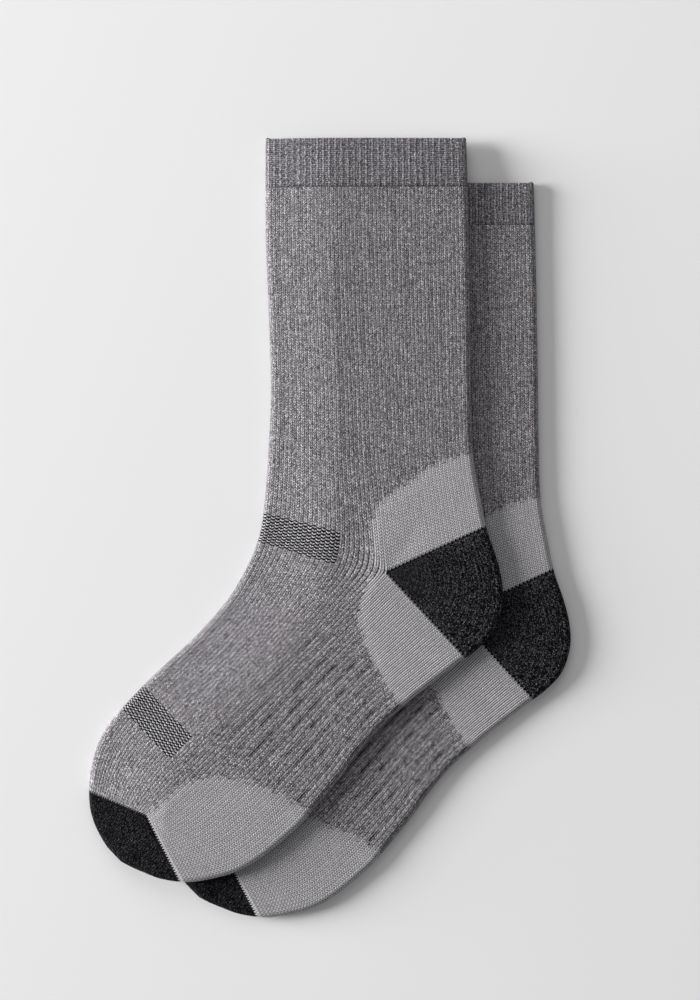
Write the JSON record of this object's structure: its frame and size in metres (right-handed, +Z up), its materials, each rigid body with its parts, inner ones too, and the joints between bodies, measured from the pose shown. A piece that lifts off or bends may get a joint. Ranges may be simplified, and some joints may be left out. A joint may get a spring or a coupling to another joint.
{
  "type": "pair of socks",
  "caption": "Pair of ribbed crew socks laid flat, the upper sock lying on the lower one, with plain cuffs, charcoal heel pockets and toe caps.",
  "frame": {"origin": "centre of the pair's outline, on the surface that the socks lie on", "axes": "+Z up from the surface, +Y from the toes to the cuffs along the legs, +X from the instep side to the heel side"},
  "size_m": [0.2162, 0.3497, 0.0106],
  "materials": {
    "cuff_knit": "one by one rib knit in mid grey wool marl, matt with a soft nap",
    "marl_knit": "two by one rib and plain knit in grey wool marl, matt with a soft nap",
    "charcoal_knit": "plain knit in charcoal wool, matt with a soft nap"
  },
  "bodies": {
    "root": {"bottom_cuff": "cuff_knit", "bottom_leg_foot": "marl_knit", "bottom_heel": "charcoal_knit", "bottom_toe": "charcoal_knit", "top_cuff": "cuff_knit", "top_leg_foot": "marl_knit", "top_heel": "charcoal_knit", "top_toe": "charcoal_knit"}
  },
  "joints": []
}
